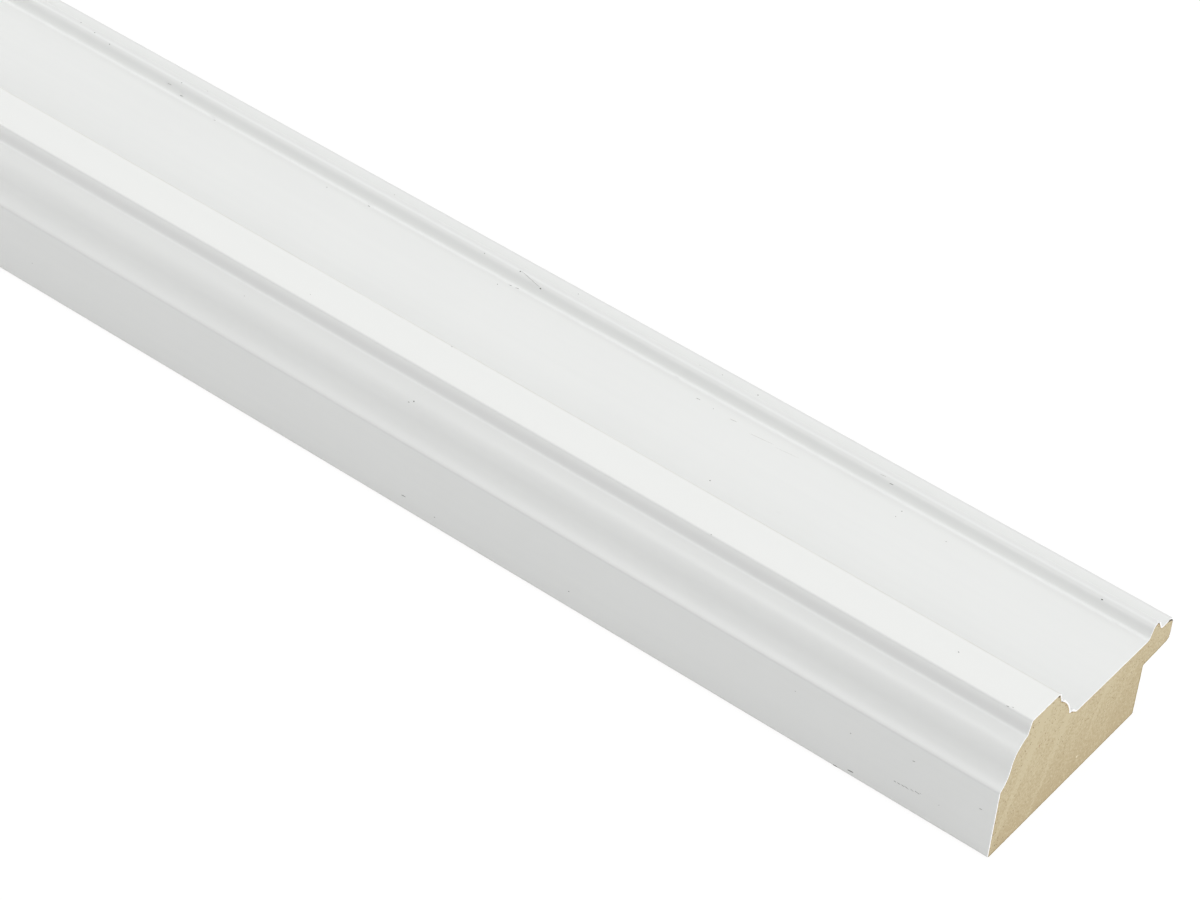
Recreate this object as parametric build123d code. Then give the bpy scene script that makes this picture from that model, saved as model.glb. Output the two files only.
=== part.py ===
from build123d import *
import os
from math import asin, atan2, hypot, radians, tan

# A stick of picture frame moulding, lying on its flat back.
# X runs along the stick, Y across it towards the sight edge, Z up from the back.
# The origin is at the middle of the back plane, under the middle of the whole width.
# Every size is in millimetres and every angle in degrees.

# Overall sizes of the stick
length = 2440.0
width = 54.5
height = 28.0

# Rabbet behind the lip, which holds the glass, the picture and the backing
rabbet_width = 8.6
lip_thickness = 6.1
ledge_slope = 3.2

# Outer edge: a plain side, then a cyma of a cove below and an ovolo above
cove_depth = 2.3
cove_rise = 4.0
cove_radius = 5.6
ovolo_width = 3.75
ovolo_rise = 5.0
ovolo_radius = 5.9

# Raised flat on top, with a short leaning riser on each side
outer_riser_height = 3.0
inner_riser_height = 2.5
riser_lean = 15.0
top_flat_width = 9.05

# Inner shoulder: a larger ovolo that comes down to a small stepped fillet
shoulder_width = 4.0
shoulder_radius = 10.2
tread_width = 1.0
tread_fall = 0.25
step_run = 1.4
step_height = 1.2

# Panel, bead and lip, measured against the flat of the lip
hump_rise = 10.0
panel_fall = 0.25
bead_setback = 6.4
bead_width = 4.2
bead_height = 2.55
bead_crown_radius = 1.4

# Radii that soften the corners
outer_back_radius = 0.75
inner_back_radius = 0.3
side_arris_radius = 0.4
top_outer_radius = 0.3
top_inner_radius = 1.5
step_nose_radius = 0.4
outer_quirk_radius = 0.4
inner_corner_radius = 0.2
bead_root_radius = 0.6
lip_top_radius = 1.6
lip_under_radius = 1.4

# Levels above the back
lip_level = height - hump_rise
panel_level = lip_level + panel_fall
tread_level = panel_level + step_height
shoulder_foot_level = tread_level + tread_fall
inner_riser_foot_level = height - inner_riser_height
outer_riser_foot_level = height - outer_riser_height
waist_level = outer_riser_foot_level - ovolo_rise
side_level = waist_level - cove_rise
ledge_level = lip_level - lip_thickness
sight_edge_foot_level = ledge_level + rabbet_width * tan(radians(ledge_slope))

# Distances from the outer side
outer_riser_foot = cove_depth + ovolo_width
top_flat_start = outer_riser_foot + outer_riser_height * tan(radians(riser_lean))
top_flat_end = top_flat_start + top_flat_width
inner_riser_foot = top_flat_end + inner_riser_height * tan(radians(riser_lean))
shoulder_foot = inner_riser_foot + shoulder_width
step_nose = shoulder_foot + tread_width
step_foot = step_nose + step_run
bead_centre = width - bead_setback
bead_start = bead_centre - bead_width / 2
bead_end = bead_centre + bead_width / 2
rabbet_wall = width - rabbet_width

# Corners of the section, before they are rounded, as (across, up)
back_outer = (0, 0)
side_top = (0, side_level)
waist = (cove_depth, waist_level)
outer_quirk = (outer_riser_foot, outer_riser_foot_level)
top_outer = (top_flat_start, height)
top_inner = (top_flat_end, height)
inner_quirk = (inner_riser_foot, inner_riser_foot_level)
shoulder_base = (shoulder_foot, shoulder_foot_level)
tread_nose = (step_nose, tread_level)
panel_start = (step_foot, panel_level)
bead_outer_root = (bead_start, lip_level)
bead_inner_root = (bead_end, lip_level)
lip_top = (width, lip_level)
lip_under = (width, sight_edge_foot_level)
ledge_corner = (rabbet_wall, ledge_level)
back_inner = (rabbet_wall, 0)


def bead_apex():
    """The sharp peak where the bead's two flanks would meet, if its crown were not round."""
    half_width = bead_width / 2
    centre_height = bead_height - bead_crown_radius
    to_centre = hypot(half_width, centre_height)
    flank_angle = atan2(centre_height, half_width) + asin(bead_crown_radius / to_centre)
    return (bead_centre, lip_level + half_width * tan(flank_angle))


def sharp_section():
    """The closed outline with sharp corners: straight runs, one cove and two ovolos."""
    outline = [
        Line(back_outer, side_top),
        RadiusArc(side_top, waist, -cove_radius),
        RadiusArc(waist, outer_quirk, ovolo_radius),
        Polyline(outer_quirk, top_outer, top_inner, inner_quirk),
        RadiusArc(inner_quirk, shoulder_base, shoulder_radius),
        Polyline(shoulder_base, tread_nose, panel_start, bead_outer_root),
        Polyline(bead_outer_root, bead_apex(), bead_inner_root),
        Polyline(bead_inner_root, lip_top, lip_under, ledge_corner, back_inner, back_outer),
    ]
    return make_face(Curve() + outline)


def rounded_section():
    """The section with each corner given its own radius."""
    radii = {
        back_outer: outer_back_radius,
        back_inner: inner_back_radius,
        side_top: side_arris_radius,
        top_outer: top_outer_radius,
        top_inner: top_inner_radius,
        outer_quirk: outer_quirk_radius,
        inner_quirk: inner_corner_radius,
        shoulder_base: inner_corner_radius,
        ledge_corner: inner_corner_radius,
        tread_nose: step_nose_radius,
        panel_start: step_nose_radius,
        bead_outer_root: bead_root_radius,
        bead_inner_root: bead_root_radius,
        bead_apex(): bead_crown_radius,
        lip_top: lip_top_radius,
        lip_under: lip_under_radius,
    }
    section = sharp_section()
    for corner, radius in radii.items():
        vertex = section.vertices().sort_by_distance(corner)[0]
        section = fillet(vertex, radius)
    return section


def moulding():
    """The whole stick: the section run along X, half to each side of the origin."""
    centred = Pos(-width / 2, 0) * rounded_section()
    return extrude(Plane.YZ * centred, amount=length / 2, both=True)


os.makedirs("parts", exist_ok=True)
export_step(moulding(), "parts/moulding.step")
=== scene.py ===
# %% [markdown]
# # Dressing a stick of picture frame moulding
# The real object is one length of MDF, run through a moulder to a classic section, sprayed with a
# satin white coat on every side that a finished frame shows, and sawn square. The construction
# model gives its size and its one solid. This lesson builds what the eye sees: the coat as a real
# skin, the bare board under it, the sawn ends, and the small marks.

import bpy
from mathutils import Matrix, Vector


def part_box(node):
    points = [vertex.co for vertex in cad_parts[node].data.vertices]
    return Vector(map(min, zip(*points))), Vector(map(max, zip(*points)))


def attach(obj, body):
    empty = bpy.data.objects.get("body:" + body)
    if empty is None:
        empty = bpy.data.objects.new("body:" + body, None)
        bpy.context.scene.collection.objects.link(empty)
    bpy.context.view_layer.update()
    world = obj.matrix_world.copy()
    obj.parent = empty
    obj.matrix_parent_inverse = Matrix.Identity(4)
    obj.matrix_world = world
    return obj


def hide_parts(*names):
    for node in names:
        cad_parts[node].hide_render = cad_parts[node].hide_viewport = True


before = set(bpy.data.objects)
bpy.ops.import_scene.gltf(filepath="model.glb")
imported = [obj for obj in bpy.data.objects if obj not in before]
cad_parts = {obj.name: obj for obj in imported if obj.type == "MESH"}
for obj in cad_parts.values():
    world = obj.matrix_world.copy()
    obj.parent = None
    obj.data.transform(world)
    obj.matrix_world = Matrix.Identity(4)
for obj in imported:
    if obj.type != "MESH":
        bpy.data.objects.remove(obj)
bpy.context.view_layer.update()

# %% [markdown]
# ## Units
# Blender works in metres and a moulder in millimetres. One factor turns the second into the first,
# so every size reads as on the shop drawing. The stick's overall sizes are read from the
# construction model.

# %% Units and overall sizes
import math
import random

import bmesh
import bpy
from mathutils import Matrix, Quaternion, Vector, noise
from mathutils.bvhtree import BVHTree

mm = 0.001
stick_low, stick_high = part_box("moulding")
length = (stick_high.x - stick_low.x) / mm
width = (stick_high.y - stick_low.y) / mm
height = (stick_high.z - stick_low.z) / mm
near_end = stick_high.x
far_end = stick_low.x
print(f"stick: {length:.1f} x {width:.1f} x {height:.1f} mm")

# %% [markdown]
# ## Places on the stick
# A moulder gives a place on a section by how far across it is from the outer side, and how far up
# from the back. With a third measure, how far from the sawn end, any point of the stick can be
# named without minus signs. This helper turns the three into metres.

# %% Places on the stick
def on_stick(from_near_end, across, up):
    return Vector((near_end - from_near_end * mm, stick_low.y + across * mm, stick_low.z + up * mm))


print("top of the outer side at the near end:", tuple(on_stick(0, 0, height)))

# %% [markdown]
# ## A pen that draws the section
# A moulding is one outline pushed along a line, so the outline has to be right. As a list of points
# its curves would be polygons that nobody can adjust, so a pen draws it the way a drawing board
# does. A straight run extrudes the last vertex and moves it. A cove or an ovolo spins it round the
# arc's centre. A corner's rounding is noted as it is drawn, and made by a vertex bevel at the end.

# %% The section pen
corner_steps = 5


class SectionPen:
    """Draws a closed outline clockwise at the far end, in millimetres across and up."""

    def __init__(self, across, up, rounding=0.0):
        self.mesh = bmesh.new()
        self.start = self.mesh.verts.new(on_stick(length, across, up))
        self.tip = self.start
        self.roundings = [(self.start, rounding)]

    def line_to(self, across, up, rounding=0.0):
        step = on_stick(length, across, up) - self.tip.co
        self.tip = bmesh.ops.extrude_vert_indiv(self.mesh, verts=[self.tip])["verts"][0]
        bmesh.ops.translate(self.mesh, verts=[self.tip], vec=step)
        self.roundings.append((self.tip, rounding))

    def arc_to(self, across, up, radius, steps, rounding=0.0):
        """A positive radius swells outwards and a negative one hollows the outline."""
        half_chord = (on_stick(length, across, up) - self.tip.co) / 2
        half_turn = math.asin(half_chord.length / (abs(radius) * mm))
        side = math.copysign(1, radius)
        inwards = half_chord.cross(Vector((1, 0, 0))).normalized()
        centre = self.tip.co + half_chord + inwards * side * half_chord.length / math.tan(half_turn)
        spun = bmesh.ops.spin(
            self.mesh, geom=[self.tip], cent=centre, axis=(1, 0, 0), dvec=(0, 0, 0),
            angle=-side * 2 * half_turn, steps=steps, use_merge=False, use_duplicate=False,
        )
        self.tip = next(g for g in spun["geom_last"] if isinstance(g, bmesh.types.BMVert))
        self.roundings.append((self.tip, rounding))

    def close(self):
        """Joins the last vertex to the first, fills the outline with one face and rounds its corners."""
        bmesh.ops.contextual_create(self.mesh, geom=[self.tip, self.start])
        bmesh.ops.contextual_create(self.mesh, geom=self.mesh.edges[:])
        for corner, radius in self.roundings:
            if radius:
                bmesh.ops.bevel(
                    self.mesh, geom=[corner], affect="VERTICES", offset_type="OFFSET",
                    offset=radius * mm * math.tan(corner.calc_edge_angle() / 2),
                    segments=corner_steps, profile=0.5, material=-1,
                )
        return self.mesh


print("steps in each rounded corner:", corner_steps)

# %% [markdown]
# ## The sizes of this section
# From the bottom of the outer side: a plain side, a cyma (a cove that runs into an ovolo), a short
# leaning riser, the raised flat, a second riser, a larger ovolo that comes down to a small stepped
# fillet, the wide panel, a bead, the lip with its rounded sight edge, and last the rabbet, the step
# on the underside where glass and picture sit. The driving sizes come first, and what follows from
# them is worked out.

# %% Sizes of the section, in millimetres
hump_rise = 10.0
cove_depth, cove_rise, cove_radius = 2.3, 4.0, 5.6
ovolo_width, ovolo_rise, ovolo_radius = 3.75, 5.0, 5.9
outer_riser, inner_riser = 3.0, 2.5
riser_lean = math.tan(math.radians(15.0))
top_flat = 9.05
shoulder_width, shoulder_radius = 4.0, 10.2
tread_width, tread_fall = 1.0, 0.25
step_run, step_height, panel_fall = 1.4, 1.2, 0.25
bead_setback, bead_width, bead_height, crown_radius = 6.4, 4.2, 2.55, 1.4
rabbet_width, lip_thickness = 8.6, 6.1
ledge_slope = math.tan(math.radians(3.2))

outer_back, inner_back, side_arris, top_outer, top_inner = 0.75, 0.3, 0.4, 0.3, 1.5
step_nose, outer_quirk, inner_corner, bead_root = 0.4, 0.4, 0.2, 0.6
lip_top, lip_under = 1.6, 1.4

lip_level = height - hump_rise
panel_level = lip_level + panel_fall
tread_level = panel_level + step_height
quirk_level = height - outer_riser
side_level = quirk_level - ovolo_rise - cove_rise
quirk_across = cove_depth + ovolo_width
top_start = quirk_across + outer_riser * riser_lean
top_end = top_start + top_flat
shoulder_start = top_end + inner_riser * riser_lean
shoulder_end = shoulder_start + shoulder_width
panel_start = shoulder_end + tread_width + step_run
bead_centre = width - bead_setback
bead_start = bead_centre - bead_width / 2
bead_end = bead_centre + bead_width / 2
rabbet_wall = width - rabbet_width
ledge_level = lip_level - lip_thickness
print(f"raised flat {top_start:.2f} to {top_end:.2f}, panel {panel_start:.2f} to {bead_start:.2f} mm")

# %% [markdown]
# ## Draw the section
# The pen goes once round the outline. The bead is two straight flanks that touch a round crown, so
# the two touching points are worked out first: each lies where a line from the bead's foot just
# grazes the crown's circle.

# %% Draw the section
crown_centre = bead_height - crown_radius
foot_to_centre = math.hypot(bead_width / 2, crown_centre)
flank = math.atan2(crown_centre, bead_width / 2) + math.asin(crown_radius / foot_to_centre)
crown_reach = crown_radius * math.sin(flank)
crown_touch = lip_level + crown_centre + crown_radius * math.cos(flank)
cove_steps, ovolo_steps, crown_steps = 8, 12, 10

pen = SectionPen(0.0, 0.0, outer_back)
pen.line_to(0.0, side_level, side_arris)
pen.arc_to(cove_depth, side_level + cove_rise, -cove_radius, cove_steps)
pen.arc_to(quirk_across, quirk_level, ovolo_radius, ovolo_steps, outer_quirk)
pen.line_to(top_start, height, top_outer)
pen.line_to(top_end, height, top_inner)
pen.line_to(shoulder_start, height - inner_riser, inner_corner)
pen.arc_to(shoulder_end, tread_level + tread_fall, shoulder_radius, ovolo_steps, inner_corner)
pen.line_to(shoulder_end + tread_width, tread_level, step_nose)
pen.line_to(panel_start, panel_level, step_nose)
pen.line_to(bead_start, lip_level, bead_root)
pen.line_to(bead_centre - crown_reach, crown_touch)
pen.arc_to(bead_centre + crown_reach, crown_touch, crown_radius, crown_steps)
pen.line_to(bead_end, lip_level, bead_root)
pen.line_to(width, lip_level, lip_top)
pen.line_to(width, ledge_level + rabbet_width * ledge_slope, lip_under)
pen.line_to(rabbet_wall, ledge_level, inner_corner)
pen.line_to(rabbet_wall, 0.0, inner_back)
section = pen.close()
print(f"section: {len(section.verts)} corners, {section.faces[:][0].calc_area() / mm**2:.1f} square mm")

# %% [markdown]
# ## Run the section along the stick
# The machine pushes the board past its cutters, and here one extrude does the same. The two end
# faces come off again, because an open tube is easier to share out between the coat and the board.
# An extrude leaves its new faces in an order that changes from run to run, and welds and nearest
# faces hang on that order. So the mesh is rebuilt in the order of its vertices.

# %% Run the section along the stick
def along(mesh_face):
    """True for a face that runs along the stick, false for one that closes an end."""
    return abs(mesh_face.normal.x) < 0.5


def put_in_order(mesh):
    """Rebuilds a mesh face by face, sorted by the vertices that each joins."""
    mesh.verts.index_update()
    places = [v.co.copy() for v in mesh.verts]
    rings = sorted(([v.index for v in f.verts] for f in mesh.faces), key=sorted)
    mesh.clear()
    verts = [mesh.verts.new(place) for place in places]
    for ring in rings:
        mesh.faces.new([verts[index] for index in ring])
    mesh.normal_update()


tube = section.copy()
run = bmesh.ops.extrude_face_region(tube, geom=tube.faces[:])
moved = [g for g in run["geom"] if isinstance(g, bmesh.types.BMVert)]
bmesh.ops.translate(tube, verts=moved, vec=(near_end - far_end, 0, 0))
bmesh.ops.recalc_face_normals(tube, faces=tube.faces[:])
bmesh.ops.delete(tube, geom=[f for f in tube.faces if not along(f)], context="FACES")
put_in_order(tube)
print("open tube:", len(tube.faces), "faces")

# %% [markdown]
# ## Which faces the spray reaches
# The stick is sprayed from above and from both sides as it lies on its back. Paint lands on all
# that faces up or sideways, goes a little way round the lip's lower edge, and misses the back and
# the rabbet. A face's normal and place say which it is.

# %% Pick the coated faces
paint_turns_under = -0.5
rabbet_margin = 1.0


def is_coated(mesh_face):
    place = mesh_face.calc_center_median() - on_stick(0, rabbet_wall - rabbet_margin, ledge_level)
    in_rabbet = place.y > 0 and place.z < 0
    return mesh_face.normal.z > paint_turns_under and not in_rabbet


coated = [f for f in tube.faces if is_coated(f)]
print("coated faces:", len(coated), "bare faces:", len(tube.faces) - len(coated))

# %% [markdown]
# ## The bare board
# The coat is about 0.3 mm thick. The board under it is the same section with its coated faces sunk
# by that much. An inset with no width and a negative depth does this: it moves the chosen faces
# inwards and leaves a small wall where the coat will end. The walls at the two open ends go,
# because there the coat's own cut edge will show.

# %% Sink the board under the coat and close it
coat_thickness = 0.3 * mm
weld = 0.02 * mm

board = tube.copy()
sunk = [f for f in board.faces if is_coated(f)]
bmesh.ops.inset_region(
    board, faces=sunk, thickness=0, depth=-coat_thickness, use_even_offset=True, use_boundary=True,
)
bmesh.ops.remove_doubles(board, verts=board.verts[:], dist=weld)
bmesh.ops.delete(board, geom=[f for f in board.faces if not along(f)], context="FACES")
bmesh.ops.holes_fill(board, edges=[e for e in board.edges if e.is_boundary])
bmesh.ops.recalc_face_normals(board, faces=board.faces[:])
print(f"board: {len(board.faces)} faces, {board.calc_volume() / mm**3 / 1000:.0f} cubic cm")

# %% [markdown]
# ## A way to keep finished pieces
# Each finished mesh becomes an object at the origin. Curved stretches are shaded smooth, real
# corners stay sharp, and a Weighted Normal modifier keeps the flats truly flat beside small
# roundings. The last lines tell the frame which body the piece rides on and which finish it takes.

# %% Keep a finished piece
sharp_corner = math.radians(33)


def keep(mesh, name, finishes, weighted=True):
    data = bpy.data.meshes.new(name)
    mesh.to_mesh(data)
    mesh.free()
    for finish in finishes:
        data.materials.append(finish)
    data.shade_smooth()
    data.set_sharp_from_angle(angle=sharp_corner)
    piece = bpy.data.objects.new(name, data)
    bpy.context.scene.collection.objects.link(piece)
    if weighted:
        piece.modifiers.new("flat_flats", "WEIGHTED_NORMAL").keep_sharp = True
    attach(piece, "root")
    print(f"{name}: {len(data.polygons)} faces")
    return piece


# %% [markdown]
# ## Shader maths as plain expressions
# A finish is a handful of patterns added and multiplied. The class below wraps a node's output, so
# that `1 - mask * 0.3` builds its Math nodes by itself. It also knows a soft threshold, and the
# larger of two values.

# %% Values that vary over a surface
class Field:
    """A node's output. Python's operators on it add Math nodes."""

    def __init__(self, shading, output):
        self.shading = shading
        self.output = output

    def math(self, operation, first, second):
        return self.shading.node("Math", {"operation": operation}, {0: first, 1: second})

    def __add__(self, other):
        return self.math("ADD", self, other)

    __radd__ = __add__

    def __sub__(self, other):
        return self.math("SUBTRACT", self, other)

    def __rsub__(self, other):
        return self.math("SUBTRACT", other, self)

    def __mul__(self, other):
        return self.math("MULTIPLY", self, other)

    __rmul__ = __mul__

    def or_more(self, other):
        return self.math("MAXIMUM", self, other)

    def step(self, low, high):
        """Rises smoothly from 0 at low to 1 at high, or falls where low is the larger."""
        return self.shading.node(
            "MapRange", {"interpolation_type": "SMOOTHSTEP"},
            {"Value": self, "From Min": low, "From Max": high},
        )


print("a field knows + - * and step")

# %% [markdown]
# ## One method for every node
# Any node comes from one method: its type, its options, which are set first because they change the
# sockets, and then the values or links of its sockets. Materials and the world both build on this
# class.

# %% Any node, in any node tree
class Shading:
    """A node tree that is filled through one method."""

    def __init__(self, tree):
        self.tree = tree
        self.tree.nodes.clear()

    def node(self, kind, settings=None, sockets=None, output=None):
        made = self.tree.nodes.new("ShaderNode" + kind)
        for option, value in (settings or {}).items():
            setattr(made, option, value)
        ready = [s for s in made.inputs if s.enabled]
        for key, value in (sockets or {}).items():
            socket = ready[key] if isinstance(key, int) else next(s for s in ready if s.name == key)
            if isinstance(value, Field):
                self.tree.links.new(value.output, socket)
            else:
                socket.default_value = value
        given = [s for s in made.outputs if s.enabled and output in (s.name, None)]
        return Field(self, given[0]) if given else None

    def vector(self, operation, first, second, output="Vector"):
        return self.node("VectorMath", {"operation": operation}, {0: first, 1: second}, output)

    def seen_or_mirrored(self):
        """1 for what the camera sees straight, in a reflection or through glass, and 0 for light."""
        rays = ("Is Camera Ray", "Is Glossy Ray", "Is Transmission Ray")
        straight, mirrored, through = (self.node("LightPath", output=ray) for ray in rays)
        return straight.or_more(mirrored).or_more(through)


print("shading helper ready")

# %% [markdown]
# ## A finish for a piece
# Every pattern below is read from Object coordinates. The pieces sit unmoved at the origin, so a
# pattern can be put on an arris or a quirk. `line` makes such a stripe along the stick, and
# `spot` one soft blotch.

# %% A finish and its patterns
class Finish(Shading):
    """A material that ends in one Principled shader."""

    def __init__(self, name):
        self.material = bpy.data.materials.new(name)
        self.material.use_nodes = True
        super().__init__(self.material.node_tree)
        self.place = self.node("TexCoord", output="Object")

    def above_back(self):
        """The height above the back, in metres."""
        return self.node("SeparateXYZ", None, {"Vector": self.place}, "Z")

    def cloud(self, size, drawn_out=1, detail=2.0):
        """Soft noise about 0.5, of a size in millimetres, and drawn out along the stick."""
        place = self.place
        if drawn_out > 1:
            place = self.vector("MULTIPLY", place, (1 / drawn_out, 1, 1))
        return self.node("TexNoise", None, {"Vector": place, "Scale": 1 / (size * mm), "Detail": detail})

    def line(self, across, up, reach):
        """1 along a line of the section, falling to 0 at reach in millimetres."""
        section_only = self.vector("MULTIPLY", self.place, (0, 1, 1))
        centre = on_stick(0, across, up) * Vector((0, 1, 1))
        return self.vector("DISTANCE", section_only, centre, "Value").step(reach * mm, 0)

    def spot(self, centre, long, wide):
        """1 at the centre of an oval, falling to 0 at its edge."""
        offset = self.vector("SUBTRACT", self.place, centre)
        oval = self.vector("MULTIPLY", offset, (2 / (long * mm), 2 / (wide * mm), 2 / (wide * mm)))
        return self.vector("DISTANCE", oval, (0, 0, 0), "Value").step(1, 0)

    def attribute(self, name):
        return self.node("Attribute", {"attribute_name": name}, output="Fac")

    def mix(self, factor, first, second):
        return self.node("Mix", {"data_type": "RGBA"}, {"Factor": factor, "A": first, "B": second})

    def relief(self, heights, deep, strength):
        """A bump of the given depth in millimetres."""
        sockets = {"Strength": strength, "Distance": deep * mm, "Height": heights}
        return self.node("Bump", None, sockets, "Normal")

    def shine(self, **sockets):
        """Adds the Principled shader. Socket names are given with _ for a space."""
        named = {key.replace("_", " "): value for key, value in sockets.items()}
        shader = self.node("BsdfPrincipled", None, named)
        self.node("OutputMaterial", None, {"Surface": shader})
        print("finish:", self.material.name, "with", len(self.tree.nodes), "nodes")
        return self.material


# %% [markdown]
# ## The satin white coat
# The paint is a cool white that is a little uneven: the sprayer leaves faint streaks along the
# stick and larger, fainter clouds. It is satin, so its roughness is middling, and its fine orange
# peel is bump, far below what a mesh should carry. The raised flat is painted whitest, as painted
# light. The outer arrises, the bead's crown and the lip's edge are a little darker, and painted
# shade darkens the riser under the raised flat and the bead's outer flank. Paint has pooled to a
# pale line in the quirk, and the pale lines at the bead's foot and beside its crown are painted
# highlights. A warm painted shade lies along the inner top arris, and a painted contact shadow
# darkens the lowest edge. A stripe is given across, up, reach, strength and tint, and a soft rub
# of dust from the near end, across, up, long, wide and strength.

# %% The coat's finish
white = (0.86, 0.869, 0.856, 1)
streaky_white = (0.846, 0.855, 0.843, 1)
# Painted light on the raised flat.
painted_light_white = (0.897, 0.905, 0.888, 1)
# Dust for the soft rubs, and painted shade on the riser and the bead's outer flank.
dust_and_shade = (0.7, 0.7, 0.7, 1)
# Pooled paint in the quirk, and painted highlights at the bead's foot and beside its crown.
pooled_and_highlight = (0.945, 0.957, 0.945, 1)
# Painted shade, in a warm tint, along the inner top arris.
warm_arris_shade = (0.7, 0.69, 0.64, 1)
# Painted contact shadow on the lowest edge.
painted_contact_grey = (0.36, 0.35, 0.33, 1)
paint_ior = 1.45
satin_roughness, cloudy_change, streaky_change = 0.298, 0.03, 0.015
bead_crown = lip_level + bead_height
stripes = [
    # Painted shade on the riser under the raised flat.
    (quirk_across + 0.3, quirk_level + 1.2, 1.9, 0.45, dust_and_shade),
    (top_start, height, 0.45, 0.5, dust_and_shade),
    (quirk_across, quirk_level, 0.5, 0.6, pooled_and_highlight),
    (0.0, side_level, 0.65, 0.4, dust_and_shade),
    (bead_centre, bead_crown, 1.2, 0.25, dust_and_shade),
    # Painted highlight beside the bead's crown.
    (bead_centre - 0.5, bead_crown - 0.1, 0.4, 0.45, pooled_and_highlight),
    # Painted shade on the bead's outer flank.
    (bead_start + 0.75, lip_level + 1.5, 1.3, 0.36, dust_and_shade),
    # Painted highlight at the bead's foot.
    (bead_start - 0.15, lip_level, 0.75, 0.95, pooled_and_highlight),
    (width - 1.1, lip_level - 0.1, 0.5, 0.3, dust_and_shade),
]
soft_rubs = [
    (228.2, 46.6, 19.3, 2.6, 1.1, 0.55), (224.6, 46.6, 19.2, 2.2, 1.3, 0.65),
    (215.6, 45.8, 18.1, 3.6, 0.8, 0.35), (176.2, 45.8, 18.1, 3.2, 0.8, 0.45),
    (220.2, 13.8, 28, 2.6, 1.8, 0.2), (111.8, 46.9, 19.9, 4, 0.9, 0.2), (102.2, 45.6, 18.1, 2, 0.8, 0.5),
    (66.8, 28.6, 18.2, 2.4, 1.6, 0.15),
]


def satin_white(name):
    finish = Finish(name)
    streaks = finish.cloud(size=1.6, drawn_out=50, detail=3.0)
    clouds = finish.cloud(size=24)
    peel = finish.cloud(size=0.7)
    patchy = finish.cloud(size=1.2, drawn_out=6, detail=3.0).step(0.35, 0.65)
    colour = finish.mix((streaks + clouds).step(0.6, 1.4), streaky_white, white)

    # Painted light: the higher up towards the raised flat, the whiter.
    painted_top_light = finish.above_back().step(on_stick(0, 0, quirk_level).z, on_stick(0, 0, height).z)
    colour = finish.mix(painted_top_light * 0.9, colour, painted_light_white)
    # Stripes paint shade on the riser and the bead's flank and highlights at the bead; the others are
    # darker or pale lines.
    for across, up, reach, strength, tint in stripes:
        colour = finish.mix(finish.line(across, up, reach) * strength, colour, tint)
    # Painted shade along the inner top arris, broken up by patches.
    inner_arris_shade = finish.line(top_end - 0.4, height - 0.2, reach=0.5)
    colour = finish.mix(inner_arris_shade * (0.5 + patchy * 0.3), colour, warm_arris_shade)
    # Painted contact shadow along the lowest edge, broken up by patches.
    painted_contact_shadow = finish.line(0.15, 0.25, reach=0.5)
    colour = finish.mix(painted_contact_shadow * (0.45 + patchy * 0.35), colour, painted_contact_grey)
    for from_end, across, up, long, wide, strength in soft_rubs:
        rub = finish.spot(on_stick(from_end, across, up), long, wide)
        colour = finish.mix(rub * patchy * strength, colour, dust_and_shade)

    roughness = satin_roughness + (clouds - 0.5) * cloudy_change + (streaks - 0.5) * streaky_change
    normal = finish.relief(peel * 0.6 + streaks * 0.4, deep=0.02, strength=0.25)
    return finish.shine(Base_Color=colour, Roughness=roughness, Normal=normal, IOR=paint_ior)


coat_finish = satin_white("satin_white_coat")

# %% [markdown]
# ## The coat where the saw cut it
# Through its thickness the paint is clean, dry and matt, and so whiter than the surface. This thin
# bright line round the tan board is the first thing that says how the stick was made. Its grain is
# only a little darker filler.

# %% The cut coat's finish
clean_white = (0.965, 0.97, 0.98, 1)
filler_white = (0.92, 0.915, 0.905, 1)


def cut_white(name):
    finish = Finish(name)
    grain = finish.cloud(size=0.35, detail=3.0)
    colour = finish.mix(grain.step(0.5, 0.75), clean_white, filler_white)
    normal = finish.relief(grain, deep=0.03, strength=0.4)
    return finish.shine(Base_Color=colour, Roughness=0.75, Normal=normal, IOR=paint_ior)


cut_coat_finish = cut_white("cut_white_coat")

# %% [markdown]
# ## Sawn MDF
# MDF is wood ground to fibres and pressed. A sawn face is an even tan with soft mottling, small
# bark flecks, more of them near the coat, and faint pale bands that the saw left. It is lighter at
# the top of this board and more olive at the bottom. Along its edges the fibres are bruised: a thin
# reddish line under the coat and a darker brown one along the bare sides. Three attributes say how
# far each point is from either and where the bands run, because only the mesh knows the outline.

# %% The sawn board's finish
tan_low = (0.478, 0.389, 0.241, 1)
tan_high = (0.573, 0.497, 0.331, 1)
bruised = (0.38, 0.25, 0.13, 1)
bare_edge = (0.3, 0.235, 0.09, 1)
bark_brown = (0.19, 0.09, 0.045, 1)
coarse_bark, fine_bark = 1.5, 0.8
least_bark, bark_near_coat, bark_far_off = 0.45, 4 * mm, 14 * mm
rise_share, band_share, band_core_share, fuzz_share, mottle_share = 0.9, 0.25, 0.35, 3.6, 0.8
bruise_reach, bare_edge_reach = 0.35 * mm, 0.5 * mm


def bark_flecks(finish, spacing, share, size):
    """Small round flecks: one in some cells of a Voronoi pattern. Spacing is in millimetres."""
    sockets = {"Vector": finish.place, "Scale": 1 / (spacing * mm)}
    gap = finish.node("TexVoronoi", None, sockets, "Distance")
    colours = finish.node("TexVoronoi", None, sockets, "Color")
    lot = finish.node("SeparateColor", None, {"Color": colours}, "Red")
    return gap.step(size, size * 0.4) * lot.step(1 - share, 1.05 - share)


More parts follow.
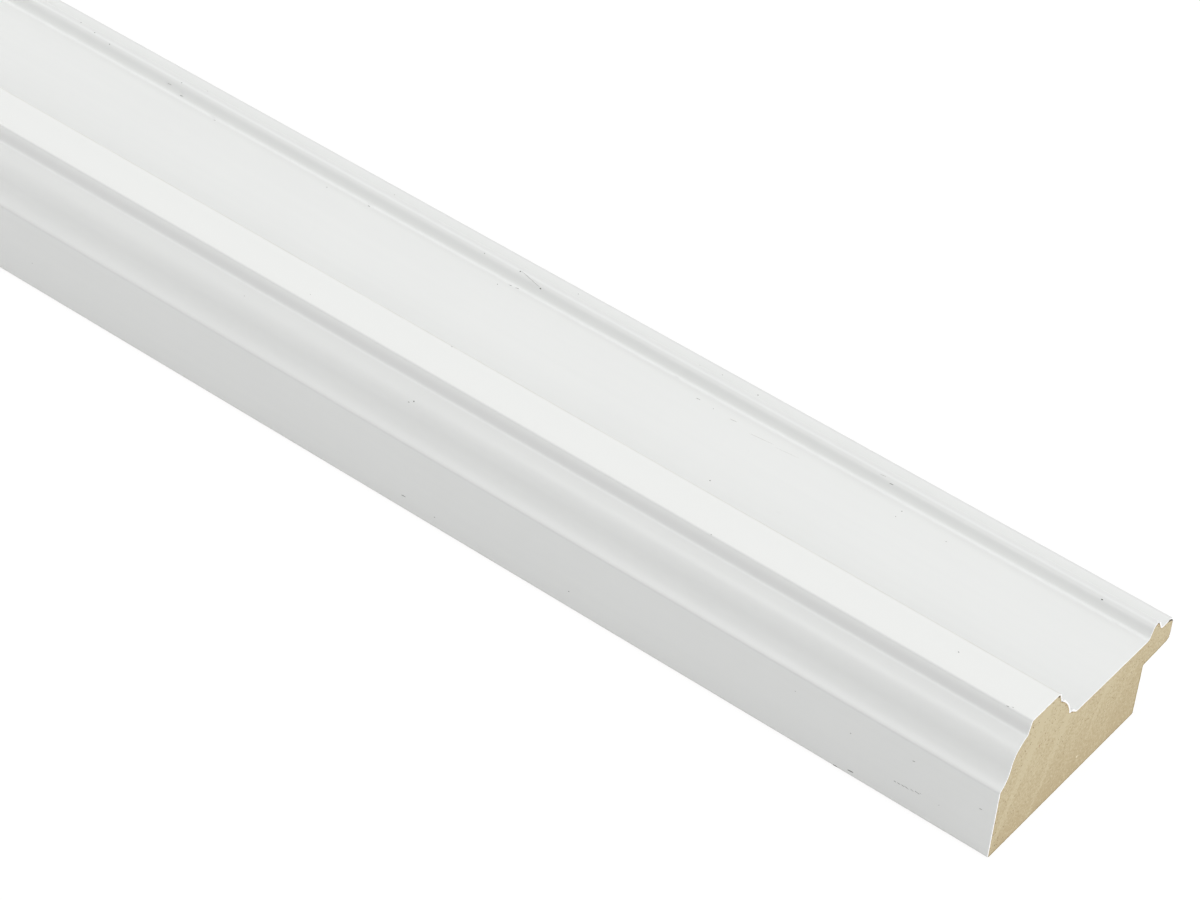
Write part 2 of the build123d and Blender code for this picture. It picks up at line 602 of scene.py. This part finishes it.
def sawn_board(name):
    finish = Finish(name)
    fuzz = finish.cloud(size=0.42, detail=4.0)
    mottle = finish.cloud(size=5)
    saw_band = finish.attribute("saw_band")
    coat_rim = finish.attribute("coat_rim")
    bare_rim = finish.attribute("bare_rim")

    level = finish.above_back() * (rise_share / (height * mm))
    level = level + saw_band * band_share + saw_band.step(0.6, 0.85) * band_core_share
    level = level + (fuzz - 0.5) * fuzz_share + (mottle - 0.5) * mottle_share
    tan = finish.mix(level, tan_low, tan_high)
    near_coat = least_bark + coat_rim.step(bark_far_off, bark_near_coat) * (1 - least_bark)
    flecks = bark_flecks(finish, coarse_bark, share=0.5, size=0.16) * 0.95
    flecks = flecks.or_more(bark_flecks(finish, fine_bark, share=0.5, size=0.22) * 0.8)
    tan = finish.mix(flecks * near_coat, tan, bark_brown)
    tan = finish.mix(coat_rim.step(bruise_reach, 0) * (0.3 + fuzz * 0.6), tan, bruised)
    tan = finish.mix(bare_rim.step(bare_edge_reach, 0) * (0.6 + fuzz * 0.6), tan, bare_edge)
    normal = finish.relief(fuzz, deep=0.06, strength=0.7)
    return finish.shine(Base_Color=tan, Roughness=0.85, Normal=normal, Specular_IOR_Level=0.25)


sawn_finish = sawn_board("sawn_mdf")

# %% [markdown]
# ## Planed and routed MDF
# The back and the rabbet were cut by turning knives, not by the saw. They are the same tan, but
# tighter, a little darker and smoother, with fine lines along the stick and a turning cutter's
# shallow ripple across it.

# %% The planed board's finish
planed_dark = (0.42, 0.335, 0.206, 1)
planed_light = (0.51, 0.424, 0.278, 1)
knife_step = 1.6


def planed_board(name):
    finish = Finish(name)
    fuzz = finish.cloud(size=0.6, detail=4.0)
    lines = finish.cloud(size=0.5, drawn_out=30, detail=3.0)
    mottle = finish.cloud(size=9)
    level = 0.5 + (fuzz - 0.5) * 0.7 + (lines - 0.5) * 0.8 + (mottle - 0.5) * 0.8
    tan = finish.mix(level, planed_dark, planed_light)
    tan = finish.mix(bark_flecks(finish, coarse_bark, share=0.3, size=0.12) * 0.5, tan, bark_brown)
    # A wave texture's bands lie pi / 10 apart at scale 1.
    ripple_scale = math.pi / (10 * knife_step * mm)
    ripple = finish.node(
        "TexWave", {"bands_direction": "X"},
        {"Vector": finish.place, "Scale": ripple_scale, "Distortion": 0.4, "Detail": 1.0},
        "Fac",
    )
    normal = finish.relief(ripple * 0.5 + fuzz * 0.3 + lines * 0.4, deep=0.03, strength=0.3)
    return finish.shine(Base_Color=tan, Roughness=0.7 + fuzz * 0.15, Normal=normal, Specular_IOR_Level=0.3)


planed_finish = planed_board("planed_mdf")

# %% [markdown]
# ## Part the board into a middle and two sawn ends
# The sawn faces carry all the fine detail, so they are pieces of their own, one millimetre thick. A
# bisect with one side cleared does what a saw does.

# %% Saw off the ends
end_thickness = 1.0 * mm


def sawn_part(solid, cuts):
    """Keeps the part of a closed solid between planes, each given as x and the side that goes."""
    part = solid.copy()
    for x, side in cuts:
        everything = part.verts[:] + part.edges[:] + part.faces[:]
        bmesh.ops.bisect_plane(
            part, geom=everything, plane_co=(x, 0, 0), plane_no=(side, 0, 0), clear_outer=True,
        )
        bmesh.ops.holes_fill(part, edges=[e for e in part.edges if e.is_boundary])
    bmesh.ops.recalc_face_normals(part, faces=part.faces[:])
    return part


near_cut = near_end - end_thickness
far_cut = far_end + end_thickness
middle = sawn_part(board, [(near_cut, 1), (far_cut, -1)])
mdf_board = keep(middle, "mdf_board", [planed_finish])

# %% [markdown]
# ## Where the saw chipped the edge
# A saw leaves brittle paint ragged, most of all where an arris stands alone: here at the inner
# riser, the small step under it, the bead and the lip. One function says how badly a place is
# chipped. The board and the coat both ask it, so that their damage agrees.

# %% Chips along the sawn edge
chips = [(15.9, 26.9, 1.3), (17.2, 25.0, 0.9), (21.6, 19.3, 0.9), (48.6, 20.3, 0.9), (53.0, 18.0, 1.0)]


def chipping(point):
    """From 0 for a clean cut to 1 at the heart of a chip. Each chip is across, up and reach in mm."""
    worst = 0.0
    for across, up, reach in chips:
        centre = on_stick(0, across, up)
        gap = math.hypot(point.y - centre.y, point.z - centre.z) / (reach * mm)
        worst = max(worst, 1 - gap)
    return worst


print("chipping at the inner top arris:", round(chipping(on_stick(0, top_end, height)), 2))

# %% [markdown]
# ## The sawn faces
# To carry relief the face needs many small cells. Slicing it with parallel planes both ways gives
# them, and keeps the outline as it was. Each vertex then learns how far it is from the coat and
# from the bare sides. The saw's bands lean back by 25 degrees, as the blade came down at an angle,
# so they are noise drawn out along that line.

# %% Slice the sawn faces and mark their rims
cell = 0.45 * mm
band_lean = math.tan(math.radians(25))
band_width, band_length = 2.4 * mm, 60 * mm
fibre = 0.8 * mm
tear_reach = 0.6 * mm


def slice_face(solid, end_x, direction, low, high):
    at = low + cell
    while at < high - cell / 2:
        cut = [f for f in solid.faces if not along(f) and abs(f.calc_center_median().x - end_x) < weld]
        edges = list({e for f in cut for e in f.edges})
        verts = list({v for f in cut for v in f.verts})
        origin = Vector(direction) * at
        bmesh.ops.bisect_plane(solid, geom=verts + edges + cut, plane_co=origin, plane_no=direction)
        at += cell


def rim_distance(solid, faces, layer):
    sides = BVHTree.FromPolygons(
        [v.co.copy() for v in solid.verts], [[v.index for v in f.verts] for f in faces],
    )
    for vert in solid.verts:
        vert[layer] = sides.find_nearest(vert.co)[3]


def band_at(point):
    """The saw's bands on a sawn face, from 0 to 1."""
    across_bands = (point.y - point.z * band_lean) / band_width
    return 0.5 + noise.noise(Vector((across_bands, point.z / band_length, point.x / mm)))


print("a band is about", band_width / mm, "mm wide")

# %% [markdown]
# The end piece is closed and thin. Its sawn side gets the saw's finish and its other sides the
# planer's. The bands and the torn fibres push its vertices in by a few hundredths of a millimetre,
# and where the edge is chipped the board's own outline is torn inwards a little.

# %% The two sawn ends
saw_bite, fuzz_relief, band_relief = 0.05, 0.025, 0.02
tear_depth, tear_change, tear_grain = 0.3, 0.5, 0.5 * mm


def sawn_end(name, end_x, cut_x, torn):
    inward = math.copysign(1, cut_x - end_x)
    solid = sawn_part(board, [(cut_x, inward)])
    slice_face(solid, end_x, (0, 1, 0), stick_low.y, stick_high.y)
    slice_face(solid, end_x, (0, 0, 1), stick_low.z, stick_high.z)
    coat_rim = solid.verts.layers.float.new("coat_rim")
    bare_rim = solid.verts.layers.float.new("bare_rim")
    saw_band = solid.verts.layers.float.new("saw_band")
    solid.verts.index_update()
    solid.normal_update()
    sides = [f for f in solid.faces if along(f)]
    rim_distance(solid, [f for f in sides if is_coated(f)], coat_rim)
    rim_distance(solid, [f for f in sides if not is_coated(f)], bare_rim)
    outline = [v for v in solid.verts if abs(v.co.x - end_x) < weld]
    for vert in outline:
        vert[saw_band] = band_at(vert.co)
        fuzz = noise.noise(vert.co / fibre)
        vert.co.x += inward * (saw_bite + fuzz_relief * fuzz - band_relief * vert[saw_band]) * mm
        tear = torn * chipping(vert.co) * max(1 - vert[coat_rim] / tear_reach, 0)
        into_board = Vector((0, vert.normal.y, vert.normal.z)) * -1
        bite = tear_depth + tear_change * noise.noise(vert.co / tear_grain)
        vert.co += into_board * tear * bite * mm
    for face in solid.faces:
        face.material_index = 1 if along(face) else 0
    return keep(solid, name, [sawn_finish, planed_finish], weighted=False)


sawn_end_near = sawn_end("sawn_end_near", near_end, near_cut, torn=1)
sawn_end_far = sawn_end("sawn_end_far", far_end, far_cut, torn=0)

# %% [markdown]
# ## The coat as a real skin
# The coat starts as the tube's coated faces alone, an open strip. Near each end it gets extra loops
# and short edges, so that its sawn edge can be as ragged as brittle paint is. Solidify then gives
# the strip its thickness inwards, with a rim on every side. It extrudes too, so its mesh is put in
# order before close vertices are welded.

# %% The coat's strip, with fine ends
edge_loops = (0.6, 1.1, 2.0)
edge_step = 0.25 * mm
fine_reach = 0.8 * mm
ends = ((near_end, -1), (far_end, 1))


def is_fine(edge, end_x):
    """True for an edge across the strip, near an end, that is longer than one step."""
    close = all(abs(v.co.x - end_x) < fine_reach for v in edge.verts)
    across = abs(edge.verts[0].co.x - edge.verts[1].co.x) < weld
    return close and across and edge.calc_length() > edge_step


coat = tube.copy()
bmesh.ops.delete(coat, geom=[f for f in coat.faces if not is_coated(f)], context="FACES")
for end_x, inward in ends:
    for loop in edge_loops:
        everything = coat.verts[:] + coat.edges[:] + coat.faces[:]
        x = end_x + inward * loop * mm
        bmesh.ops.bisect_plane(coat, geom=everything, plane_co=(x, 0, 0), plane_no=(1, 0, 0))

for end_x, inward in ends:
    by_cuts = {}
    for edge in [e for e in coat.edges if is_fine(e, end_x)]:
        by_cuts.setdefault(math.ceil(edge.calc_length() / edge_step) - 1, []).append(edge)
    for cuts, edges in sorted(by_cuts.items()):
        bmesh.ops.subdivide_edges(coat, edges=edges, cuts=cuts, use_grid_fill=True)

bmesh.ops.solidify(coat, geom=coat.faces[:], thickness=coat_thickness)
put_in_order(coat)
bmesh.ops.remove_doubles(coat, verts=coat.verts[:], dist=weld)
bmesh.ops.recalc_face_normals(coat, faces=coat.faces[:])
print("coat strip:", len(coat.faces), "faces")

# %% [markdown]
# ## Fray the sawn edge
# Every vertex on the cut is set back a little, by noise, and far more inside a chip. There it also
# moves in the plane of the cut, which gives the inner riser's small zigzags.

# %% The coat's ragged ends
plain_setback, chip_setback = 0.02, 0.15
plain_fray, chip_fray = 0.03, 0.3
steady_chip = 0.7
grit = 0.6 * mm
other_noise = Vector((0, 7, 0))

for end_x, inward in ends:
    for vert in [v for v in coat.verts if abs(v.co.x - end_x) < weld]:
        here = vert.co / grit
        chipped = chipping(vert.co) if end_x == near_end else 0
        roughly = noise.noise(here)
        setback = plain_setback * (1 + roughly) + chip_setback * chipped * (steady_chip + roughly)
        fray = (plain_fray + chip_fray * chipped) * noise.noise(here + other_noise)
        vert.co += Vector((0, vert.normal.y, vert.normal.z)) * fray * mm
        vert.co.x += inward * max(setback, 0) * mm

for face in coat.faces:
    face.material_index = 0 if along(face) else 1
surface = BVHTree.FromBMesh(tube)
white_coat = keep(coat, "white_coat", [coat_finish, cut_coat_finish])

# %% [markdown]
# ## Specks
# Marks on the paint and flecks in the board are the same thing to build: a tiny flat lump lying on
# a surface. Each is a small icosphere, roughened by noise, pressed flat, and turned to lie on the
# nearest point of the surface. A tone attribute tells the finish how dark it is.

# %% A helper for specks
speck_height = 0.03 * mm
raggedness, lump_scale = 0.45, 3


class Specks:
    """Flat specks in one mesh, each laid on a surface. Sizes are in millimetres."""

    def __init__(self, laid_on, heading):
        self.mesh = bmesh.new()
        self.tone = self.mesh.verts.layers.float.new("tone")
        self.laid_on = laid_on
        self.heading = Vector(heading)

    def add(self, near, long, wide, tone, turn=0.0, fineness=2):
        spot, normal = self.laid_on.find_nearest(near)[:2]
        ahead = (self.heading - normal * self.heading.dot(normal)).normalized()
        lie = Matrix((ahead, normal.cross(ahead), normal)).transposed().to_4x4()
        turned = Matrix.Rotation(math.radians(turn), 4, "Z")
        speck = bmesh.ops.create_icosphere(self.mesh, subdivisions=fineness, radius=0.5)["verts"]
        for vert in speck:
            vert.co *= 1 + raggedness * noise.noise(vert.co * lump_scale + near / mm)
            vert[self.tone] = tone
        bmesh.ops.scale(self.mesh, verts=speck, vec=(long * mm, wide * mm, speck_height))
        bmesh.ops.transform(self.mesh, verts=speck, matrix=Matrix.Translation(spot) @ lie @ turned)


print("specks rise", speck_height / 2 / mm, "mm above the surface")

# %% [markdown]
# ## The marks' finish
# Scuffs and specks of dirt are greys. Tone 0 is the darkest dirt and tone 1 hardly shows. A fine
# noise breaks up each mark, so that none is a flat sticker.

# %% The finish of the marks
dirt = (0.1, 0.1, 0.095, 1)
faint_scuff = (0.66, 0.66, 0.64, 1)


def dirt_marks(name):
    finish = Finish(name)
    smear = finish.cloud(size=0.15)
    colour = finish.mix(finish.attribute("tone") + (smear - 0.5) * 0.5, dirt, faint_scuff)
    normal = finish.relief(smear, deep=0.01, strength=0.3)
    return finish.shine(Base_Color=colour, Roughness=0.55 + smear * 0.2, Normal=normal, IOR=paint_ior)


marks_finish = dirt_marks("dirt_marks")

# %% [markdown]
# ## The marks that show
# The marks on the real stick, each at its own place: from the near end, across, up, then long, wide
# and tone. Most lie along the stick, as scuffs do when sticks slide over one another. The scrape is
# a row of marks on the outer side that was dragged uphill: from the near end, up, long and tone.
# One fine scratch runs down off the bead's crown: from the near end, across and up.

# %% Marks on the near stretch
mark_turn, scrape_turn, scratch_turn = 6, -8, -10
scrape_wide = 0.11
scratch_long, scratch_wide, scratch_tone = 2.2, 0.07, 0.55
seen_marks = [
    (129.8, 3.6, 23.2, 0.3, 0.24, 0.1), (130.7, 3.1, 22.4, 0.3, 0.15, 0.3), (128.4, 0, 3.4, 1, 0.14, 0.1),
    (121, 0, 2.7, 0.22, 0.16, 0.3), (90.2, 0, 4.1, 0.26, 0.17, 0), (101, 51.2, 18, 0.22, 0.16, 0.5),
    (95.7, 43.5, 18, 1, 0.12, 0.4), (92, 43.2, 18, 0.24, 0.14, 0.4), (87.4, 43.1, 18, 1.5, 0.1, 0.7),
    (88.1, 51.8, 18, 0.3, 0.2, 0.4), (96.7, 51.9, 18, 0.26, 0.16, 0.6),
    (80.7, 27.1, 18.2, 0.26, 0.2, 0.1), (66.5, 7, 28, 0.24, 0.16, 0.6), (228.2, 46.6, 19.3, 1, 0.12, 0.6),
    (224.5, 46.5, 19.1, 0.8, 0.14, 0.5), (215, 45.3, 18.2, 0.5, 0.12, 0.6),
    (175.8, 45.4, 18.1, 0.5, 0.16, 0.4), (177.4, 51.5, 18, 0.24, 0.16, 0.7),
    (174.1, 51.4, 18, 0.24, 0.16, 0.7), (220.5, 0, 6.3, 0.24, 0.14, 0.6),
    (170.8, 4.1, 23.8, 0.22, 0.14, 0.8), (159.1, 8.9, 28, 0.24, 0.12, 0.6), (10.7, 47, 20, 0.42, 0.2, 0),
    (18.3, 12, 28, 0.24, 0.2, 0.2), (5, 6.9, 28, 0.55, 0.14, 0.5), (4.2, 7.3, 28, 0.4, 0.12, 0.6),
    (2.9, 0, 10.2, 0.6, 0.13, 0.3), (31.6, 0, 0.6, 1, 0.22, 0), (28.4, 0, 1.4, 1.2, 0.2, 0),
    (16.8, 0, 12, 0.55, 0.14, 0.3), (10.7, 0, 5.6, 0.22, 0.12, 0.6), (55.2, 46.9, 19.9, 0.9, 0.14, 0.4),
    (57.4, 47.3, 20.3, 1.4, 0.1, 0.9), (221.8, 51.3, 18, 0.24, 0.14, 0.8), (80.5, 42.5, 18, 5.5, 0.09, 1),
    (75, 42.6, 18, 5, 0.07, 1), (140.6, 47.5, 20.4, 0.36, 0.18, 0.1), (135.2, 46.8, 19.7, 0.4, 0.22, 0),
    (149, 47.2, 20.2, 0.24, 0.16, 0.4), (143.1, 44, 18, 0.24, 0.18, 0.4),
    (141.1, 45.4, 18, 0.6, 0.12, 0.5), (139.6, 45.6, 18, 0.8, 0.12, 0.4),
    (130.1, 52.1, 18, 0.26, 0.16, 0.5), (130.9, 15.1, 28, 0.3, 0.16, 0.4),
    (50.7, 43.9, 18, 0.26, 0.18, 0.4), (50.7, 42, 18, 0.22, 0.16, 0.6), (40.3, 42.7, 18, 0.3, 0.14, 0.5),
    (29.6, 0, 9.9, 0.26, 0.16, 0.5), (41.5, 0, 12, 0.26, 0.16, 0.6), (185.4, 44.3, 18, 0.26, 0.16, 0.5),
    (225.6, 47.4, 20.4, 0.24, 0.16, 0.5),
]
scrape = [
    (19.7, 5.05, 0.5, 0.2), (18.9, 5.1, 0.7, 0.1), (18.1, 5.15, 0.8, 0.2), (17.3, 5.2, 0.9, 0.1),
    (16.2, 5.35, 0.7, 0.4), (15.2, 5.5, 1, 0.1), (14.5, 5.75, 0.4, 0.6),
]
crown_scratch = [(139.5, 47.35, 20.36), (138.0, 47.12, 20.16), (136.5, 46.93, 19.92)]

coat_specks = Specks(surface, heading=(1, 0, 0))
for from_end, across, up, long, wide, tone in seen_marks:
    coat_specks.add(on_stick(from_end, across, up), long, wide, tone, mark_turn)
for from_end, up, long, tone in scrape:
    coat_specks.add(on_stick(from_end, 0, up), long, scrape_wide, tone, scrape_turn)
for from_end, across, up in crown_scratch:
    place = on_stick(from_end, across, up)
    coat_specks.add(place, scratch_long, scratch_wide, scratch_tone, scratch_turn)
print("marks that show:", len(seen_marks) + len(scrape) + len(crown_scratch))

# %% [markdown]
# ## The marks on the rest
# The rest of the stick has been handled just as much. Its marks are scattered in a seeded random
# order, the same each run: mostly specks, now and then a short scuff. Each lands on the nearest
# face of the section.

# %% Marks on the hidden stretch
marks_per_metre = 150
shown_length, edge_margin = 235.0, 1.0
side_share, scuff_share = 0.4, 0.2
scuff_size = ((0.6, 1.6), (0.1, 0.16))
speck_size = ((0.2, 0.35), (0.14, 0.24))
tones, turns = (0.1, 0.9), (-12, 12)
throw = random.Random(7)
hidden_marks = int(marks_per_metre * (length - shown_length) * mm)

for _ in range(hidden_marks):
    from_end = throw.uniform(shown_length, length - edge_margin)
    across = throw.uniform(0, width)
    up = throw.uniform(edge_margin, height) if throw.random() < side_share else height
    if across > rabbet_wall and up < height:
        across = 0.0
    size = scuff_size if throw.random() < scuff_share else speck_size
    long, wide = (throw.uniform(*span) for span in size)
    tone, turn = throw.uniform(*tones), throw.uniform(*turns)
    coat_specks.add(on_stick(from_end, across, up), long, wide, tone, turn, fineness=1)

keep(coat_specks.mesh, "coat_marks", [marks_finish], weighted=False)

# %% [markdown]
# ## The flecks' finish
# On the sawn face the coarser flecks are bark, one is a splinter of redder wood, one is cream, and
# the darkest are fibres that the hot blade burnt. One tone value runs through all four.

# %% The finish of the flecks
burnt, bark, red, pale = 0.0, 0.4, 0.7, 1.0
burnt_colour = (0.045, 0.032, 0.02, 1)
bark_colour = (0.27, 0.18, 0.09, 1)
red_colour = (0.33, 0.15, 0.08, 1)
pale_colour = (0.82, 0.77, 0.6, 1)


def bark_and_burns(name):
    finish = Finish(name)
    tone = finish.attribute("tone")
    grain = finish.cloud(size=0.12)
    colour = finish.mix(tone.step(burnt, bark) + (grain - 0.5) * 0.5, burnt_colour, bark_colour)
    colour = finish.mix(tone.step(bark, red), colour, red_colour)
    colour = finish.mix(tone.step(red, pale), colour, pale_colour)
    normal = finish.relief(grain, deep=0.02, strength=0.4)
    return finish.shine(Base_Color=colour, Roughness=0.8 + grain * 0.1, Normal=normal)


flecks_finish = bark_and_burns("bark_and_burns")

# %% [markdown]
# ## The flecks and burns of the near sawn face
# Each is given across, up, long, wide, tone and the angle it leans by. The burns sit where the saw
# left the wood: at the lip's and the bead's tops and on the inner arris of the raised flat.

# %% Flecks and burns
face_flecks = [
    (52.4, 17.58, 0.7, 0.24, burnt, -6), (52.9, 17.5, 0.8, 0.34, burnt, -10),
    (53.5, 17.36, 0.7, 0.4, burnt, -30), (53.95, 17.02, 0.6, 0.34, burnt, -55),
    (47.8, 20.1, 0.6, 0.3, burnt, -40), (15.25, 27.24, 0.6, 0.4, burnt, -50),
    (13.5, 27.15, 0.6, 0.3, bark, 0), (18.4, 22.87, 0.5, 0.25, bark, -60),
    (16.6, 25.6, 0.4, 0.22, bark, -60), (21.4, 18.9, 0.35, 0.2, bark, 0),
    (11.45, 18.5, 0.75, 0.26, red, 60), (0.62, 8.32, 0.3, 0.2, burnt, 80),
    (0.55, 5.38, 0.3, 0.2, burnt, 80), (1.93, 1.77, 0.4, 0.24, burnt, 40),
    (5.81, 10.8, 0.3, 0.2, bark, 0), (4.5, 7.63, 0.25, 0.2, bark, 30), (10.91, 22.24, 0.3, 0.2, bark, 60),
    (17.15, 18.36, 0.25, 0.2, bark, 0), (4.1, 18.52, 0.25, 0.2, bark, 0),
    (14.57, 11.86, 0.3, 0.18, bark, 50), (22.7, 1.37, 0.3, 0.2, bark, 20),
    (18.22, 14.84, 0.25, 0.18, bark, 0), (19.75, 13.31, 0.3, 0.16, bark, 40),
    (6.61, 20.92, 0.3, 0.2, bark, 0), (7.75, 26.26, 0.3, 0.2, bark, 20), (28.29, 16.7, 0.3, 0.2, bark, 0),
    (36.26, 11.26, 0.25, 0.2, bark, 0), (45.2, 3.9, 0.3, 0.2, bark, 0),
    (45.51, 13.07, 0.4, 0.24, bark, 40), (26.84, 3.93, 0.5, 0.4, pale, 30),
]

sawn_face = BVHTree.FromObject(sawn_end_near, bpy.context.evaluated_depsgraph_get())
face_specks = Specks(sawn_face, heading=(0, 1, 0))
for across, up, long, wide, tone, turn in face_flecks:
    face_specks.add(on_stick(0, across, up), long, wide, tone, turn)
keep(face_specks.mesh, "sawn_face_flecks", [flecks_finish], weighted=False)

# %% [markdown]
# ## Stand in for the plain solid
# The coat, the board and its two ends together fill the construction model's solid. They show in
# its place, and the solid is hidden.

# %% Replace the plain solid
for piece in (white_coat, mdf_board, sawn_end_near, sawn_end_far):
    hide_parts("moulding")
    print(piece.name, "stands for the moulding")

# %% [markdown]
# ## The floor
# A catalogue picture has a pure white ground, but flooding the scene with light would wash out the
# paint. So the floor shows white only to what the camera sees, straight or mirrored. All other rays
# meet a plain pale floor, so the light on the stick is honest. A little of it stays diffuse for the
# camera too, to keep the contact shadow.

# %% Floor
floor_glow, floor_trace = 0.9, 0.15
floor_tone = 0.7
floor_half_size = 6.0
floor_level = stick_low.z - 0.05 * mm


def grey(value):
    return (value, value, value, 1)


floor_finish = Finish("pale_floor")
plain = floor_finish.node("BsdfDiffuse", None, {"Color": grey(floor_tone)})
glow = floor_finish.node("Emission", None, {"Color": grey(1.0), "Strength": floor_glow})
trace = floor_finish.node("BsdfDiffuse", None, {"Color": grey(floor_trace)})
shown = floor_finish.node("AddShader", None, {0: glow, 1: trace})
lit = floor_finish.node("MixShader", None, {0: floor_finish.seen_or_mirrored(), 1: plain, 2: shown})
floor_finish.node("OutputMaterial", None, {"Surface": lit})

floor_mesh = bmesh.new()
bmesh.ops.create_grid(floor_mesh, x_segments=1, y_segments=1, size=floor_half_size)
bmesh.ops.translate(floor_mesh, verts=floor_mesh.verts[:], vec=(0, 0, floor_level))
floor_data = bpy.data.meshes.new("floor")
floor_mesh.to_mesh(floor_data)
floor_mesh.free()
floor_data.materials.append(floor_finish.material)
floor = bpy.data.objects.new("floor", floor_data)
bpy.context.scene.collection.objects.link(floor)
print("floor at", round(floor_level, 6), "m")

# %% [markdown]
# ## The light
# The mouldings read only if light differs from side to side. Three soft suns shine from above, from
# high on the sight side and onto the sawn end, and a small bright panel stands high on the outer
# side. A mild, even surround fills the shadows. Together they add up to about one on a surface that
# faces up, so colours render about as written.

# %% Surround
surround_strength = 0.55

studio = bpy.data.worlds.new("studio")
studio.use_nodes = True
bpy.context.scene.world = studio
around = Shading(studio.node_tree)
soft_fill = around.node("Background", None, {"Color": grey(1.0), "Strength": surround_strength})
pure_white = around.node("Background", None, {"Color": grey(1.0), "Strength": 1.0})
either = around.node("MixShader", None, {0: around.seen_or_mirrored(), 1: soft_fill, 2: pure_white})
around.node("OutputWorld", None, {"Surface": either})
print("surround:", surround_strength)

# %% [markdown]
# A sun lamp has no place, only a direction and an angle that sets how soft it is. An area lamp has
# both place and size. The panel hangs some way back from the sawn end, where the satin paint
# mirrors it in the cyma, as two bright bands that fade a little further along.

# %% Lamps
panel_place, panel_aim = Vector((0.8, -0.88, 0.72)), Vector((1.1, -0.03, 0.02))
panel_width, panel_depth, panel_radiance = 0.45, 0.4, 2.4


def turn_lamp(lamp, toward, place=(0, 0, 0)):
    placed = bpy.data.objects.new(lamp.name, lamp)
    placed.location = place
    placed.rotation_mode = "QUATERNION"
    placed.rotation_quaternion = Vector(toward).to_track_quat("-Z", "Y")
    bpy.context.scene.collection.objects.link(placed)
    print(f"{lamp.name}: {lamp.energy:.2f}")
    return placed


def sun(name, strength, softness, toward):
    lamp = bpy.data.lights.new(name, "SUN")
    lamp.energy = strength
    lamp.angle = math.radians(softness)
    turn_lamp(lamp, toward)


sun("overhead", strength=0.2, softness=30, toward=(0.42, -0.15, -0.88))
sun("sight_side", strength=0.4, softness=60, toward=(0, -0.64, -0.77))
sun("saw_cut", strength=2.02, softness=60, toward=(-0.97, 0, -0.24))
panel = bpy.data.lights.new("outer_panel", "AREA")
panel.shape = "RECTANGLE"
panel.size, panel.size_y = panel_width, panel_depth
panel.energy = panel_radiance * math.pi * panel_width * panel_depth
turn_lamp(panel, panel_aim - panel_place, panel_place).visible_camera = False

# %% [markdown]
# ## The camera
# The photograph was taken from close above the sawn end with a long lens. Its direction was found
# from the lines along the stick and across the cut, which meet at two vanishing points. A camera
# turns about its own axis last, so the small roll comes after aiming.

# %% Camera
aim = Vector((1.13745, -0.032846, 0.046157))
azimuth, elevation = math.radians(34.3907), math.radians(41.7411)
roll = math.radians(5.3859)
distance = 0.6901
focal_length = 122.915

away = Vector((math.sin(azimuth), -math.cos(azimuth), 0)) * math.cos(elevation)
away.z = math.sin(elevation)
camera_data = bpy.data.cameras.new("camera")
camera_data.lens = focal_length
camera_data.clip_start = 0.05
camera = bpy.data.objects.new("camera", camera_data)
camera.location = aim + away * distance
camera.rotation_mode = "QUATERNION"
camera.rotation_quaternion = (-away).to_track_quat("-Z", "Y") @ Quaternion((0, 0, 1), roll)
bpy.context.scene.collection.objects.link(camera)
bpy.context.scene.camera = camera
bpy.context.scene.view_settings.view_transform = "Standard"
print("camera at", tuple(round(c, 4) for c in camera.location))

# %% [markdown]
# ## Finish
# Dressing must not change the size. The last line updates the view layer.

# %% Update the view layer
bpy.context.view_layer.update()
